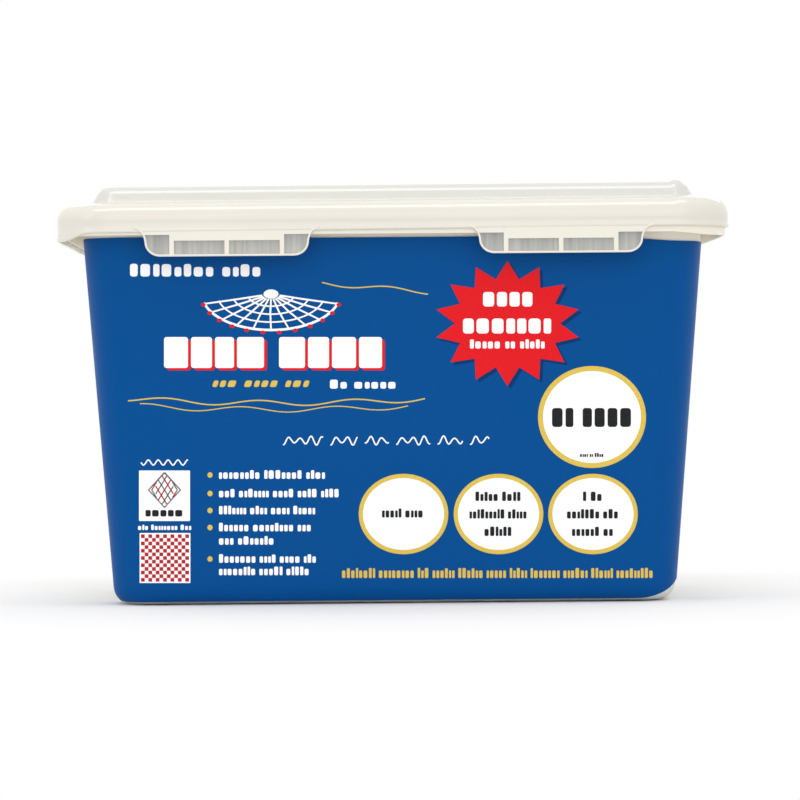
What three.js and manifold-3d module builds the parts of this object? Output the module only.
// Cast net in its lidded storage tub. Millimetres, +Z up, origin on the floor under the middle of the tub.
// The tub's long side runs along X, and its labelled front faces -Y.
import * as THREE from "three";
import { mergeVertices } from "three/addons/utils/BufferGeometryUtils.js";
import Module from "manifold-3d";

const wasm = await Module();
wasm.setup();

// ---------- driving dimensions ----------
const LID_A = 168.2; // lid's half length (X)
const LID_B = 111.0; // lid's half width (Y)
const LID_R = 30.0; // lid's corner radius in plan
const LID_WALL = 1.6; // lid's wall
const SKIRT_Z = 187.0; // lower edge of the lid's skirt
const SHOULDER_Z = 192.0; // where the skirt starts to round over
const SHOULDER_R = 8.0; // radius of that rounding
const PANEL_Z = 206.0; // the lid's recessed middle panel, where another tub stacks
const BEAD_Z = 209.0; // top of the stacking bead around it
const GAP = 0.3; // running gap between separate pieces

const TUB_WALL = 1.6;
const WALL_IN = 12.4; // tub's wall at its top, measured in from the lid's outermost edge
const TAPER = 14.7; // how far the wall leans in from z = WALL_TOP down to z = 0
const WALL_TOP = 195.0;
const RIM_Z = 198.1; // top of the tub's rolled rim
const LIP_Z = 184; // lower edge of the rim's turned-down lip
const FOOT_R = 9.0; // radius between floor and wall
const FLOOR_Z = 2.6; // inside floor
const CORNER_TOP = 23.0; // wall's corner radius in plan at the top
const CORNER_LEAN = 0.35; // how much of the taper the corner radius loses
const CORNER_STEPS = 5;

const TAB_X = 82.5; // latch tab's centre, along X
const TAB_HALF = 37.5; // half width of the tab's lower edge, before its round corners
const TAB_CORNER = 9.0;
const TAB_BOTTOM = 173.4;
const TAB_T = 1.35; // tab's thickness
const TAB_TRAVEL_AXIS = SKIRT_Z - 0.15; // height of the bending line

const LABEL_T = 0.35;
const LABEL_TOP = 184.5;
const LABEL_WRAP = 14; // how far the label runs on along each side after the corner

const WEIGHT_L = 30; // one lead weight: length, radius, bore radius
const WEIGHT_R = 6.4;
const WEIGHT_BORE = 2.6;
const LEAD_LINE_R = 1.9;
const LOOP_A = 132.3; // the lead line's lowest loop: half length, half width, corner radius, height
const LOOP_B = 76.1;
const LOOP_R = 24;
const LOOP_Z = 9.6;

const PILE_TOP = 131; // top of the folded netting
const LINE_D = 5; // braided hand line
const LINE_R = LINE_D / 2;
const COIL_X = -82; // hand line coil: centre, mean radius, half width and height of its bundle
const COIL_Y = 29;
const COIL_MEAN_R = 45;
const COIL_HALF_W = 14;
const COIL_Z0 = 132.2;
const COIL_H = 25;

const SWIVEL_Y = -38; // swivel, brails and horn lie on one line along X
const SWIVEL_Z = 152;
const SWIVEL_X = 74; // middle of the swivel's barrel
const HORN_X = -14; // middle of the horn

const CUFF_X = 76; // wrist cuff's centre
const CUFF_Y = 47;
const CUFF_HALF_X = 52;
const CUFF_HALF_Y = 27;
const CUFF_Z0 = 132.4;
const CUFF_H = 42;
const CUFF_PAD_T = 7;
const CUFF_WEB_T = 1.6;

// ---------- helpers ----------
const DEG = Math.PI / 180;
const material = (hex, roughness, metalness = 0, extra = {}) => new THREE.MeshStandardMaterial({ color: hex, roughness, metalness, ...extra });
const MAT = {
  tub: material(0xdedfdb, 0.35, 0, { transparent: true, opacity: 0.6 }),
  lid: material(0xe4e0d8, 0.35, 0, { transparent: true, opacity: 0.85 }),
  label: material(0x004d8f, 0.4),
  net: material(0xdfe6e2, 0.45),
  cord: material(0xe9e6dc, 0.8),
  blueCord: material(0x2c5f9e, 0.8),
  mono: material(0xcfe0e0, 0.25),
  steel: material(0xb9bcbd, 0.25, 1),
  lead: material(0x6f7377, 0.55, 0.8),
  horn: material(0x1f2b30, 0.45),
  foam: material(0x1c1d20, 0.85),
  webbing: material(0x27405f, 0.85),
  tie: material(0x151515, 0.6),
};

// A three.js geometry as a manifold-3d solid, and back.
function solid(geometry) {
  const flat = geometry.index ? geometry.toNonIndexed() : geometry.clone();
  const bare = new THREE.BufferGeometry().setAttribute("position", flat.getAttribute("position"));
  const merged = mergeVertices(bare, 1e-4);
  return new wasm.Manifold(
    new wasm.Mesh({
      numProp: 3,
      vertProperties: merged.attributes.position.array,
      triVerts: new Uint32Array(merged.index.array),
    }),
  );
}
function geometryOf(s) {
  const m = s.getMesh();
  const v = new Float32Array(m.numVert * 3);
  for (let i = 0; i < m.numVert; i++) v.set(m.vertProperties.subarray(i * m.numProp, i * m.numProp + 3), i * 3);
  const g = new THREE.BufferGeometry();
  g.setAttribute("position", new THREE.BufferAttribute(v, 3));
  g.setIndex(new THREE.BufferAttribute(new Uint32Array(m.triVerts), 1));
  g.computeVertexNormals();
  return g;
}
const union = (...gs) => geometryOf(gs.map(solid).reduce((a, b) => a.add(b)));
const cut = (g, ...tools) => geometryOf(tools.map(solid).reduce((a, b) => a.subtract(b), solid(g)));
const common = (a, b) => geometryOf(solid(a).intersect(solid(b)));
const boxAt = (x0, x1, y0, y1, z0, z1) => new THREE.BoxGeometry(x1 - x0, y1 - y0, z1 - z0).translate((x0 + x1) / 2, (y0 + y1) / 2, (z0 + z1) / 2);

const root = new THREE.Group();
function add(name, geometry, mat, parent = root) {
  const mesh = new THREE.Mesh(geometry, mat);
  mesh.name = name;
  parent.add(mesh);
  return mesh;
}

// One point of a rounded rectangle's outline, counter-clockwise from +X.
function outlinePoint(i, a, b, r, steps = CORNER_STEPS) {
  const corner = Math.floor(i / (steps + 1)),
    th = (corner + (i % (steps + 1)) / steps) * 90 * DEG;
  const sx = corner === 0 || corner === 3 ? 1 : -1,
    sy = corner < 2 ? 1 : -1;
  return [sx * (a - r) + r * Math.cos(th), sy * (b - r) + r * Math.sin(th)];
}
// A lathe whose round sections become rounded rectangles: profile rows are [half length, half width, corner radius, z].
function rectLathe(profile, steps = CORNER_STEPS) {
  const n = 4 * (steps + 1);
  const g = new THREE.LatheGeometry(
    profile.map(([a, , , z]) => new THREE.Vector2(a, z)),
    n,
  );
  const p = g.getAttribute("position");
  for (let i = 0; i <= n; i++)
    for (let j = 0; j < profile.length; j++) {
      const [a, b, r, z] = profile[j];
      const [x, y] = a === 0 ? [0, 0] : outlinePoint(i % n, a, b, r, steps);
      p.setXYZ(i * profile.length + j, x, y, z);
    }
  return g;
}
// Rows inset by d from the lid's outermost outline.
const inset = (d, z, r = Math.max(LID_R - d, 4)) => [LID_A - d, LID_B - d, r, z];
const arc = (cd, cz, radius, from, to, steps) =>
  Array.from({ length: steps + 1 }, (_, k) => {
    const t = (from + ((to - from) * k) / steps) * DEG;
    return [cd - radius * Math.cos(t), cz + radius * Math.sin(t)];
  });

// A lathe about +X, +Y or +Z from [radius, along] points that close on themselves or end on the axis.
function lathe(points, segments, axis = "z") {
  const g = new THREE.LatheGeometry(
    points.map(([r, y]) => new THREE.Vector2(r, y)),
    segments,
  );
  if (axis === "z") g.rotateX(Math.PI / 2);
  if (axis === "x") g.rotateZ(-Math.PI / 2);
  return g;
}
// A tube of a regular section along a curve.
function tube(curve, radius, sides, steps) {
  const section = new THREE.Shape(
    Array.from({ length: sides }, (_, k) => new THREE.Vector2(radius * Math.cos((2 * Math.PI * k) / sides), radius * Math.sin((2 * Math.PI * k) / sides))),
  );
  return new THREE.ExtrudeGeometry(section, { extrudePath: curve, steps, bevelEnabled: false, curveSegments: 1 });
}
const V = (x, y, z) => new THREE.Vector3(x, y, z);

// ---------- tub ----------
const wallLean = (z) => TAPER * (1 - z / WALL_TOP);
const wall = (z, off = 0) => {
  const d = WALL_IN + wallLean(z) + off;
  return [LID_A - d, LID_B - d, CORNER_TOP - CORNER_LEAN * wallLean(z) - off, z];
};
// The bottom radius between floor and wall, for a surface off mm inside the wall's outer face.
function footRow(angle, off = 0) {
  const base = wall(FOOT_R, off),
    rr = FOOT_R - off,
    t = angle * DEG;
  const back = rr * (1 - Math.sin(t));
  return [base[0] - back, base[1] - back, Math.max(base[2] - back * 0.8, 3), FOOT_R - rr * Math.cos(t)];
}
const rimRows = arc(SHOULDER_R, SHOULDER_Z, SHOULDER_R - LID_WALL - GAP, 0, 90, 3).map(([d, z]) => inset(d, z));
const rimUnder = arc(SHOULDER_R, SHOULDER_Z, SHOULDER_R - LID_WALL - GAP - 1.5, 90, 0, 2).map(([d, z]) => inset(d, z));
const foot0 = footRow(0);
add(
  "tub",
  rectLathe([
    [0, 0, 0, 1.0],
    [foot0[0] - 13.4, foot0[1] - 13.4, 8, 1.0],
    [foot0[0] - 12.4, foot0[1] - 12.4, 8, 0],
    foot0,
    footRow(30),
    footRow(60),
    footRow(90),
    wall(100),
    wall(WALL_TOP),
    inset(12.4, 196.5, CORNER_TOP + 0.8),
    ...rimUnder,
    inset(3.3, LIP_Z),
    inset(1.75, LIP_Z),
    ...rimRows,
    inset(13.4, RIM_Z, CORNER_TOP - 0.3),
    inset(14.6, RIM_Z - 0.9, CORNER_TOP - 1.4),
    wall(194, TUB_WALL),
    wall(100, TUB_WALL),
    footRow(90, TUB_WALL),
    footRow(45, TUB_WALL),
    [footRow(0, TUB_WALL)[0], footRow(0, TUB_WALL)[1], footRow(0, TUB_WALL)[2], FLOOR_Z],
    [0, 0, 0, FLOOR_Z],
  ]),
  MAT.tub,
);

// ---------- label: a film around the front, both front corners and a little of each side ----------
const labelRows = (off) => [footRow(30, off), footRow(60, off), footRow(90, off), wall(100, off), wall(LABEL_TOP, off)];
const outer = labelRows(-GAP - LABEL_T),
  inner = labelRows(-GAP);
const labelTube = rectLathe([...outer, ...inner.reverse(), outer[0]]);
add("front_label", common(labelTube, boxAt(-200, 200, -200, -(LID_B - WALL_IN - TAPER) + CORNER_TOP + LABEL_WRAP, -5, 190)), MAT.label);

// ---------- lid ----------
const lidOuter = [
  inset(0.15, SKIRT_Z),
  ...arc(SHOULDER_R, SHOULDER_Z, SHOULDER_R, 0, 90, 4).map(([d, z]) => inset(d, z)),
  inset(16.6, 200.6),
  inset(18.0, 201.6),
  inset(20.0, 207.2),
  inset(21.6, 208.6),
  inset(23.2, BEAD_Z),
  inset(25.6, BEAD_Z),
  inset(27.0, 208.2),
  inset(28.4, PANEL_Z),
  [0, 0, 0, PANEL_Z],
];
const lidInner = [
  [0, 0, 0, PANEL_Z - LID_WALL],
  inset(29.4, PANEL_Z - LID_WALL),
  inset(27.6, 207.0 - LID_WALL),
  inset(24.4, BEAD_Z - LID_WALL),
  inset(22.0, 207.0),
  inset(20.6, 205.2),
  inset(19.2, 200.9),
  inset(17.4, 198.9, CORNER_TOP - 4.3),
  inset(17.1, 194.6, CORNER_TOP - 4.0),
  inset(15.7, 194.6, CORNER_TOP - 2.6),
  inset(15.5, 198.4, CORNER_TOP - 2.4),
  ...arc(SHOULDER_R, SHOULDER_Z, SHOULDER_R - LID_WALL, 90, 0, 3).map(([d, z]) => inset(d, z)),
  inset(LID_WALL, SKIRT_Z),
];
add("lid", rectLathe([...lidInner, ...lidOuter]), MAT.lid);

// ---------- latch tabs: they bend out about the skirt's lower edge ----------
function tabGeometry() {
  // Drawn in X-Z with the outer face on y = 0 and the tab's middle at x = 0; y > 0 is towards the tub.
  const s = new THREE.Shape(),
    top = SKIRT_Z - GAP,
    half = TAB_HALF + 1.5;
  s.moveTo(-half - 3, top);
  s.quadraticCurveTo(-half, top, -half, top - 3.6);
  s.lineTo(-half, TAB_BOTTOM + TAB_CORNER);
  s.absarc(-half + TAB_CORNER, TAB_BOTTOM + TAB_CORNER, TAB_CORNER, Math.PI, 1.5 * Math.PI, false);
  s.lineTo(half - TAB_CORNER, TAB_BOTTOM);
  s.absarc(half - TAB_CORNER, TAB_BOTTOM + TAB_CORNER, TAB_CORNER, 1.5 * Math.PI, 2 * Math.PI, false);
  s.lineTo(half, top - 3.6);
  s.quadraticCurveTo(half, top, half + 3, top);
  const plate = new THREE.ExtrudeGeometry(s, { depth: TAB_T, bevelEnabled: false, curveSegments: 4 });
  plate.rotateX(Math.PI / 2).translate(0, TAB_T, 0); // shape's y becomes z
  const pockets = [];
  const rib = 27.2,
    w = 1.25;
  for (const [x0, x1, z1] of [
    [-half + 4.2, -rib - w, 182.3],
    [-rib + w, -w, 180.0],
    [w, rib - w, 180.0],
    [rib + w, half - 4.2, 182.3],
  ])
    pockets.push(boxAt(x0, x1, -1, 0.75, Math.abs(x0 + x1) > rib * 1.6 ? TAB_BOTTOM + 3.4 : TAB_BOTTOM + 1.1, z1));
  const bead = boxAt(-20, 20, TAB_T - 0.2, TAB_T + 0.22, 177.6, 180.6);
  return geometryOf(solid(cut(plate, ...pockets)).add(solid(bead)));
}
for (const [name, sx, back] of [
  ["latch_tab_front_left", -1, 0],
  ["latch_tab_front_right", 1, 0],
  ["latch_tab_back_left", -1, 1],
  ["latch_tab_back_right", 1, 1],
]) {
  const g = tabGeometry();
  if (back) g.rotateZ(Math.PI);
  add(name, g, MAT.lid).position.set(sx * TAB_X, back ? LID_B : -LID_B, 0);
}

// ---------- netting: the folded pile, and the neck that rises to the horn ----------
const pileWall = (z, off) => wall(z, TUB_WALL + off);
add(
  "net_pile",
  rectLathe([
    [0, 0, 0, 4.0],
    [92, 36, 12, 4.0],
    [96, 40, 14, 8],
    [97, 41, 14, 29.9],
    [108, 52, 15, 30.4],
    pileWall(34, 2.4),
    pileWall(118, 2.4),
    pileWall(126, 6),
    pileWall(PILE_TOP - 0.6, 15),
    [0, 0, 0, PILE_TOP],
  ], 4),
  MAT.net,
);
// The neck is a tapering hank that lies on the pile and ends at the horn's lower lip.
function neckGeometry() {
  const curve = new THREE.CatmullRomCurve3([V(-122, -56, PILE_TOP + 12.6), V(-97, -61, PILE_TOP + 13), V(-72, -56, PILE_TOP + 14.5), V(-52, -45, SWIVEL_Z - 2.5), V(HORN_X - 23, SWIVEL_Y, SWIVEL_Z), V(HORN_X - 15, SWIVEL_Y, SWIVEL_Z)]);
  const steps = 16,
    sides = 10;
  const g = tube(curve, 1, sides, steps);
  // Scale each section about its own centre: thick on the pile, thin at the horn.
  const p = g.getAttribute("position");
  const centres = curve.getSpacedPoints(steps);
  for (let i = 0; i < p.count; i++) {
    const v = V(p.getX(i), p.getY(i), p.getZ(i));
    let best = 0;
    centres.forEach((c, k) => {
      if (Math.abs(c.distanceTo(v) - 1) < Math.abs(centres[best].distanceTo(v) - 1)) best = k;
    });
    const t = best / steps,
      r = t < 0.06 ? 7 : t < 0.12 ? 11 : 11.8 - 0.4 * t + (t > 0.95 ? -0.8 : 0);
    v.sub(centres[best]).multiplyScalar(r).add(centres[best]);
    p.setXYZ(i, v.x, v.y, v.z);
  }
  return g;
}
add("net_neck", neckGeometry(), MAT.net);

// ---------- horn, its selvage tie, and the brail lines through it ----------
const hornGroup = new THREE.Group();
hornGroup.position.set(HORN_X, SWIVEL_Y, SWIVEL_Z);
root.add(hornGroup);
add(
  "horn",
  lathe(
    [
      [10.5, -12],
      [15.5, -12],
      [16.5, -10.5],
      [16.5, -8.5],
      [14, -7],
      [14, 1.5],
      [17, 4],
      [19.5, 9],
      [19.5, 11],
      [18, 12],
      [12.5, 12],
      [10.5, 9],
      [10.5, -12],
    ],
    16,
    "x",
  ),
  MAT.horn,
  hornGroup,
);
add("top_selvage_tie", lathe([[14.6, -6.4], [17.2, -6.4], [18, -4.5], [17.2, -1.2], [14.6, -1.2], [14.6, -6.4]], 16, "x"), MAT.cord, hornGroup);
add("brail_lines", lathe([[0, -13], [8.4, -13], [8.4, 12], [6.2, 26], [4.4, 38], [0, 38]], 12, "x"), MAT.mono, hornGroup);
add("brail_crimp", lathe([[0, 38.4], [5.2, 38.4], [5.6, 39.2], [5.6, 51.2], [5.2, 52], [0, 52]], 12, "x"), MAT.steel, hornGroup);

// ---------- swivel: a barrel that holds the heads of two eyes ----------
const swivel = new THREE.Group();
swivel.position.set(SWIVEL_X, SWIVEL_Y, SWIVEL_Z);
root.add(swivel);
add(
  "swivel_barrel",
  lathe(
    [
      [2.25, -12],
      [4.4, -12],
      [6.2, -9.8],
      [6.6, 0],
      [6.2, 9.8],
      [4.4, 12],
      [2.25, 12],
      [2.25, 9.8],
      [4.6, 9.2],
      [4.6, -9.2],
      [2.25, -9.8],
      [2.25, -12],
    ],
    14,
    "x",
  ),
  MAT.steel,
  swivel,
);
const EYE_R = 6.6,
  EYE_WIRE = 1.9,
  EYE_C = 15.2 + EYE_R;
function eyeGeometry() {
  const shaft = lathe([[0, 6.2], [4.2, 6.2], [4.2, 8.6], [1.85, 9.6], [1.85, 15.6], [0, 15.6]], 12, "x");
  const ring = new THREE.TorusGeometry(EYE_R, EYE_WIRE, 8, 18).translate(EYE_C, 0, 0);
  return union(shaft, ring);
}
add("swivel_eye_line", eyeGeometry(), MAT.steel, swivel);
add("swivel_eye_brail", eyeGeometry().rotateZ(Math.PI), MAT.steel, swivel);

// A loop of cord threaded through a swivel eye, closed by a whipped collar on the swivel's axis. It stands in X-Z, across the eye.
function cordLoop(reach, cordR, collarR, collarLength) {
  // The loop's far end is in the eye's hole; it narrows into the collar at x = reach.
  const x0 = -cordR * 1.15,
    half = 5.4;
  const path = new THREE.CatmullRomCurve3([V(x0, 0, 0), V(x0 + 3, 0, half * 0.82), V(reach * 0.55, 0, half), V(reach, 0, half * 0.35), V(reach, 0, -half * 0.35), V(reach * 0.55, 0, -half), V(x0 + 3, 0, -half * 0.82)], true);
  const loop = tube(path, cordR, 7, 26);
  const collar = lathe([[0, reach - 2.2], [collarR, reach - 2.2], [collarR, reach - 2.2 + collarLength], [0, reach - 2.2 + collarLength]], 10, "x");
  return union(loop, collar);
}
const lineLoop = cordLoop(13, 1.9, 4.4, 14);
add("hand_line_loop", lineLoop.translate(EYE_C, 0, 0), MAT.cord, swivel);
const brailLoop = cordLoop(11.5, 1.6, 3.4, 2.8).rotateZ(Math.PI);
add("brail_loop", brailLoop.translate(-EYE_C, 0, 0), MAT.mono, swivel);

// ---------- hand line: run from the swivel to the coil, the coil, and the run from the coil to the cuff ----------
const lineStart = SWIVEL_X + EYE_C + 13 - 2.2 + 14 + GAP;
const runA = new THREE.CatmullRomCurve3(
  [
    V(lineStart, SWIVEL_Y, SWIVEL_Z),
    V(lineStart + 5, SWIVEL_Y, SWIVEL_Z),
    V(lineStart + 12, SWIVEL_Y + 3, SWIVEL_Z - 2.2),
    V(lineStart + 18, SWIVEL_Y + 10, SWIVEL_Z - 7),
    V(lineStart + 18.5, SWIVEL_Y + 19, SWIVEL_Z - 12.5),
    V(lineStart + 12, SWIVEL_Y + 28, SWIVEL_Z - 16.4),
    V(lineStart - 2, SWIVEL_Y + 35, 134),
    V(100, 3, 133.8),
    V(76, 7, 133.8),
    V(48, 7, 133.8),
    V(20, 3, 133.8),
    V(-6, -3, 133.8),
    V(-26, -13, 133.9),
    V(-40, -23, 134.6),
    V(-50, -28, 136),
  ],
  false,
  "centripetal",
);
add("hand_line_run_a", tube(runA, LINE_R, 8, 40), MAT.cord);
add(
  "hand_line_coil",
  lathe(
    [
      [COIL_MEAN_R - COIL_HALF_W, 4],
      [COIL_MEAN_R - COIL_HALF_W + 4, 0],
      [COIL_MEAN_R + COIL_HALF_W - 4, 0],
      [COIL_MEAN_R + COIL_HALF_W, 4],
      [COIL_MEAN_R + COIL_HALF_W, COIL_H - 4],
      [COIL_MEAN_R + COIL_HALF_W - 4, COIL_H],
      [COIL_MEAN_R - COIL_HALF_W + 4, COIL_H],
      [COIL_MEAN_R - COIL_HALF_W, COIL_H - 4],
      [COIL_MEAN_R - COIL_HALF_W, 4],
    ],
    24,
  ).translate(COIL_X, COIL_Y, COIL_Z0),
  MAT.cord,
);
// Two straps hold the coil. Each is a flat band around the bundle of turns.
function tieGeometry() {
  const t = 1.1,
    g = 0.9,
    w = COIL_HALF_W + g,
    h0 = -g,
    h1 = COIL_H + g;
  const s = new THREE.Shape([new THREE.Vector2(-w - t, h0 - 0.4), new THREE.Vector2(w + t, h0 - 0.4), new THREE.Vector2(w + t, h1 + t), new THREE.Vector2(-w - t, h1 + t)]);
  s.holes.push(new THREE.Path([new THREE.Vector2(-w, h0), new THREE.Vector2(-w, h1), new THREE.Vector2(w, h1), new THREE.Vector2(w, h0)]));
  const g2 = new THREE.ExtrudeGeometry(s, { depth: 9, bevelEnabled: false });
  return g2.translate(0, 0, -4.5).rotateX(Math.PI / 2); // band stands across the bundle, width along Y
}
for (const [name, angle] of [
  ["line_tie_1", 100],
  ["line_tie_2", 250],
]) {
  const m = add(name, tieGeometry(), MAT.tie);
  m.rotation.z = angle * DEG;
  m.position.set(COIL_X + COIL_MEAN_R * Math.cos(angle * DEG), COIL_Y + COIL_MEAN_R * Math.sin(angle * DEG), COIL_Z0);
}

// ---------- wrist cuff ----------
function stadium(hx, hy) {
  const s = new THREE.Path();
  s.moveTo(hx - hy, -hy);
  s.absarc(hx - hy, 0, hy, -Math.PI / 2, Math.PI / 2, false);
  s.lineTo(-hx + hy, hy);
  s.absarc(-hx + hy, 0, hy, Math.PI / 2, 1.5 * Math.PI, false);
  return s;
}
function band(hx, hy, t, z0, z1) {
  const s = new THREE.Shape(stadium(hx, hy).getPoints(8).slice(0, -1));
  s.holes.push(new THREE.Path(stadium(hx - t, hy - t).getPoints(8).slice(0, -1)));
  return new THREE.ExtrudeGeometry(s, { depth: z1 - z0, bevelEnabled: false, curveSegments: 8 }).translate(CUFF_X, CUFF_Y, z0);
}
const CUFF_END = CUFF_X - CUFF_HALF_X; // the webbing's outer face at the end where the ring sits
const CUFF_MID_Z = CUFF_Z0 + CUFF_H / 2;
const NOTCH = 5.6; // how far the pad is cut back there, so that the ring's inner bar passes between pad and webbing
add(
  "cuff_pad",
  cut(band(CUFF_HALF_X - CUFF_WEB_T - GAP, CUFF_HALF_Y - CUFF_WEB_T - GAP, CUFF_PAD_T, CUFF_Z0, CUFF_Z0 + CUFF_H), boxAt(CUFF_END - 1, CUFF_END + NOTCH, CUFF_Y - 4, CUFF_Y + 4, CUFF_Z0 + 4, CUFF_Z0 + CUFF_H - 4)),
  MAT.foam,
);
add("cuff_webbing", band(CUFF_HALF_X, CUFF_HALF_Y, CUFF_WEB_T, CUFF_Z0 + 8.5, CUFF_Z0 + CUFF_H - 8.5), MAT.webbing);
// The ring that joins the cuff to the line is threaded on the webbing.
const RING_W = 2.2;
const keeper = cut(
  boxAt(CUFF_END - 6.2, CUFF_END + 4.6, CUFF_Y - 2, CUFF_Y + 2, CUFF_MID_Z - 15.4, CUFF_MID_Z + 15.4),
  boxAt(CUFF_END - 6.2 + RING_W, CUFF_END + 4.6 - RING_W, CUFF_Y - 3, CUFF_Y + 3, CUFF_MID_Z - 13.2, CUFF_MID_Z + 13.2),
);
add("cuff_keeper", keeper, MAT.steel);
const RUN_B_END = CUFF_END - 6.2 - GAP;
const runB = new THREE.CatmullRomCurve3(
  [V(COIL_X + 22, COIL_Y + 38, COIL_Z0 + COIL_H + 3.4), V(COIL_X + 44, COIL_Y + 30, COIL_Z0 + COIL_H + 3.2), V(COIL_X + 62, CUFF_Y - 4, COIL_Z0 + COIL_H + 0.5), V(-12, CUFF_Y, CUFF_MID_Z + 0.4), V(4, CUFF_Y, CUFF_MID_Z), V(RUN_B_END, CUFF_Y, CUFF_MID_Z)],
  false,
  "centripetal",
);
add("hand_line_run_b", tube(runB, LINE_R, 8, 18), MAT.cord);
// ---------- lead line and weights ----------
// The lowest loop runs round the floor and carries weights on its four straight sides.
class LoopCurve extends THREE.Curve {
  getPoint(t, target = new THREE.Vector3()) {
    const sx = 2 * (LOOP_A - LOOP_R),
      sy = 2 * (LOOP_B - LOOP_R),
      q = (Math.PI / 2) * LOOP_R;
    let u = t * (2 * sx + 2 * sy + 4 * q);
    const parts = [
      [sy, 0],
      [q, 0],
      [sx, 1],
      [q, 1],
      [sy, 2],
      [q, 2],
      [sx, 3],
      [q, 3],
    ];
    const start = [V(LOOP_A, -sy / 2, LOOP_Z), V(sx / 2, LOOP_B, LOOP_Z), V(-LOOP_A, sy / 2, LOOP_Z), V(-sx / 2, -LOOP_B, LOOP_Z)];
    const dir = [V(0, 1, 0), V(-1, 0, 0), V(0, -1, 0), V(1, 0, 0)];
    for (let k = 0; k < 8; k++) {
      const [length, side] = parts[k];
      if (u <= length || k === 7) {
        if (k % 2 === 0) return target.copy(start[side]).addScaledVector(dir[side], u);
        const from = start[side].clone().addScaledVector(dir[side], side % 2 ? sx : sy);
        const inwards = dir[(side + 1) % 4];
        const c = from.clone().addScaledVector(inwards, LOOP_R);
        const a = Math.min(u, length) / LOOP_R;
        return target.copy(c).addScaledVector(inwards, -LOOP_R * Math.cos(a)).addScaledVector(dir[side], LOOP_R * Math.sin(a));
      }
      u -= length;
    }
    return target;
  }
}
// Swept by hand-placed sections, so that the sections beside each weight stay square to it.
function loopTube(radius, sides) {
  const n = 4 * 7; // six steps round each corner
  const g = new THREE.TorusGeometry(LOOP_R, radius, sides, n);
  const p = g.getAttribute("position");
  for (let j = 0; j <= sides; j++)
    for (let i = 0; i <= n; i++) {
      const [x, y] = outlinePoint(i % n, LOOP_A, LOOP_B, LOOP_R, 6);
      const corner = Math.floor((i % n) / 7),
        th = (corner + ((i % n) % 7) / 6) * 90 * DEG,
        v = (2 * Math.PI * (j % sides)) / sides;
      const out = radius * Math.cos(v);
      p.setXYZ(j * (n + 1) + i, x + out * Math.cos(th), y + out * Math.sin(th), LOOP_Z + radius * Math.sin(v));
    }
  return g;
}
add("lead_line_loop", loopTube(LEAD_LINE_R, 7), MAT.cord);
const weightProfile = [
  [WEIGHT_BORE, -WEIGHT_L / 2],
  [4.3, -WEIGHT_L / 2],
  [WEIGHT_R, -WEIGHT_L / 5],
  [WEIGHT_R, WEIGHT_L / 5],
  [4.3, WEIGHT_L / 2],
  [WEIGHT_BORE, WEIGHT_L / 2],
  [WEIGHT_BORE, -WEIGHT_L / 2],
];
let weightNumber = 0;
for (const [count, along, place, axis] of [
  [6, 35.4, (u) => V(u, -LOOP_B, LOOP_Z), "x"],
  [3, 33.6, (u) => V(LOOP_A, u, LOOP_Z), "y"],
  [6, 35.4, (u) => V(u, LOOP_B, LOOP_Z), "x"],
  [3, 33.6, (u) => V(-LOOP_A, u, LOOP_Z), "y"],
])
  for (let k = 0; k < count; k++) {
    weightNumber++;
    const g = lathe(weightProfile, 8, axis);
    add("lead_weight_" + String(weightNumber).padStart(2, "0"), g, MAT.lead).position.copy(place((k - (count - 1) / 2) * along));
  }
// The rest of the lead line lies in loops inside that one and on top of it: a ring around the pile's foot.
add(
  "lead_line_coil",
  rectLathe(
    [
      [99, 43, 15, 3.4],
      [123.5, 67.5, 18, 3.4],
      [124.6, 68.6, 18, 5],
      [124.6, 68.6, 18, 15.5],
      [137.2, 81, 20, 17.2],
      [138.4, 82.2, 21, 19],
      [138.6, 82.4, 21, 28],
      [136, 79.8, 20, 29.6],
      [99.6, 43.6, 15, 29.6],
      [98.6, 42.6, 15, 27],
      [98.2, 42.2, 15, 6],
      [99, 43, 15, 3.4],
    ],
    4,
  ),
  MAT.lead,
);

export default root;
